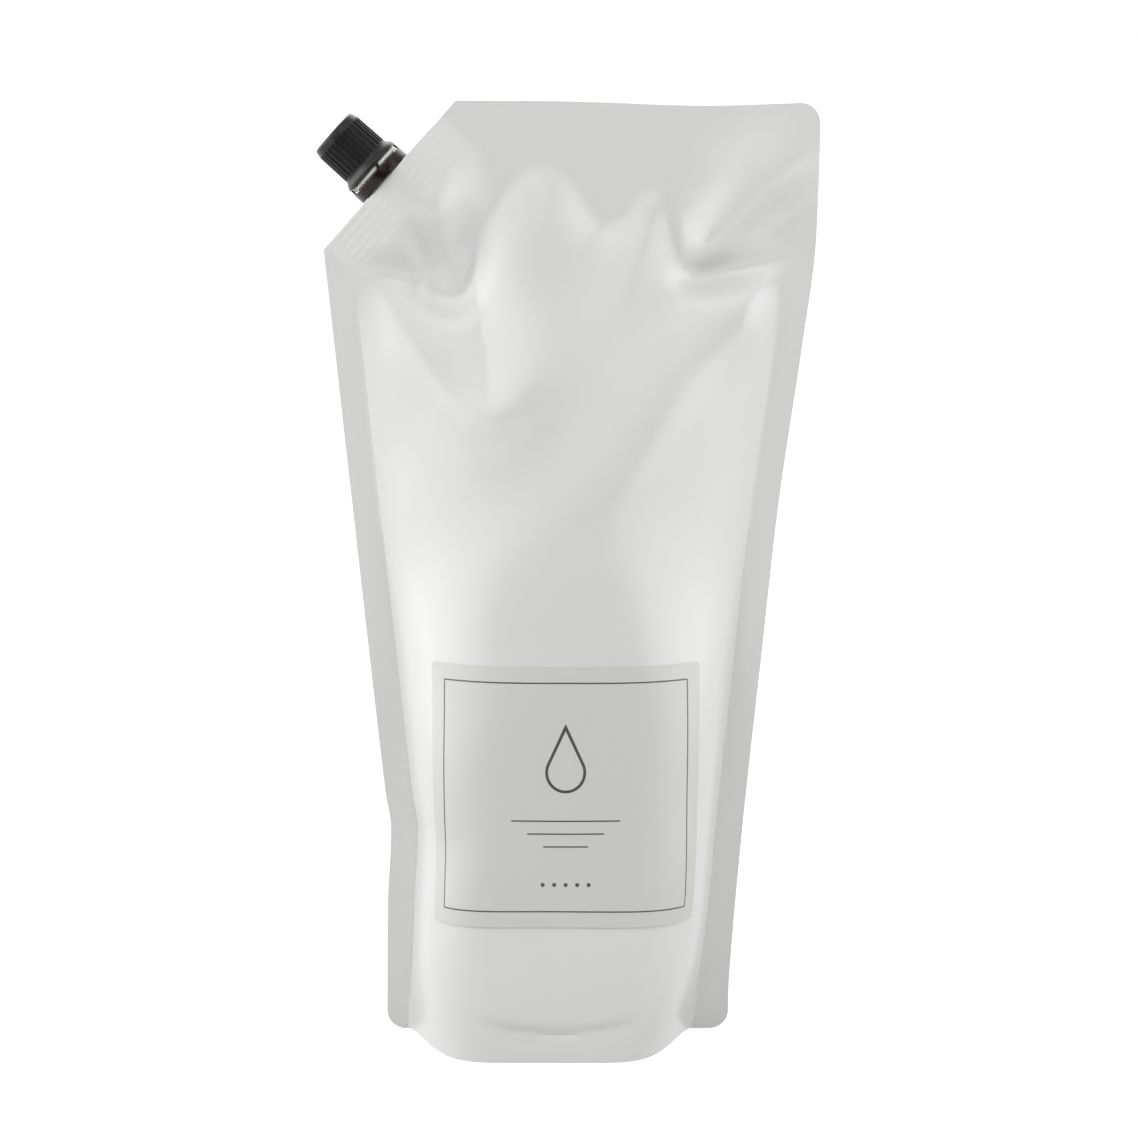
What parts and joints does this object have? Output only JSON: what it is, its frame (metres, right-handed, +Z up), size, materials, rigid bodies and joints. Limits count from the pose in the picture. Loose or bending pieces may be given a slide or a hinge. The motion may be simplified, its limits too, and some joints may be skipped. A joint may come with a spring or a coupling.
{
  "type": "hand soap refill pouch",
  "caption": "Filled stand-up film pouch of liquid soap with side seals, a bottom gusset, a front label and a screw-capped spout in its cut top corner",
  "frame": {"origin": "middle of the foot, on the surface that the pouch stands on", "axes": "+Z up, front with the label towards -Y, +X to the right seen from the front, spout at the upper left"},
  "size_m": [0.1577, 0.0794, 0.3],
  "materials": {
    "film": "satin white laminate film",
    "label": "matte warm grey label",
    "spout": "natural moulded polyethylene",
    "ring": "glossy black moulded plastic",
    "liner": "white sealing foam",
    "cap": "matte black moulded plastic"
  },
  "bodies": {
    "pack": {"pouch": "film", "front_label": "label", "spout": "spout", "tamper_ring": "ring"},
    "liner": {"cap_liner": "liner"},
    "cap": {"screw_cap": "cap"}
  },
  "joints": [
    {"name": "cap_travel", "type": "slide", "parent": "pack", "child": "liner", "axis": [-0.7444, 0, 0.6677], "range_m": [0, 0.0045]},
    {"name": "cap_turn", "type": "hinge", "parent": "liner", "child": "cap", "pos_m": [-0.05378, 0, 0.27543], "axis": [-0.7444, 0, 0.6677], "range_deg": [0, 540]}
  ],
  "couplings": [
    {"joint": "cap_travel", "follows": "cap_turn", "m_per_rad": 0.00047746}
  ]
}
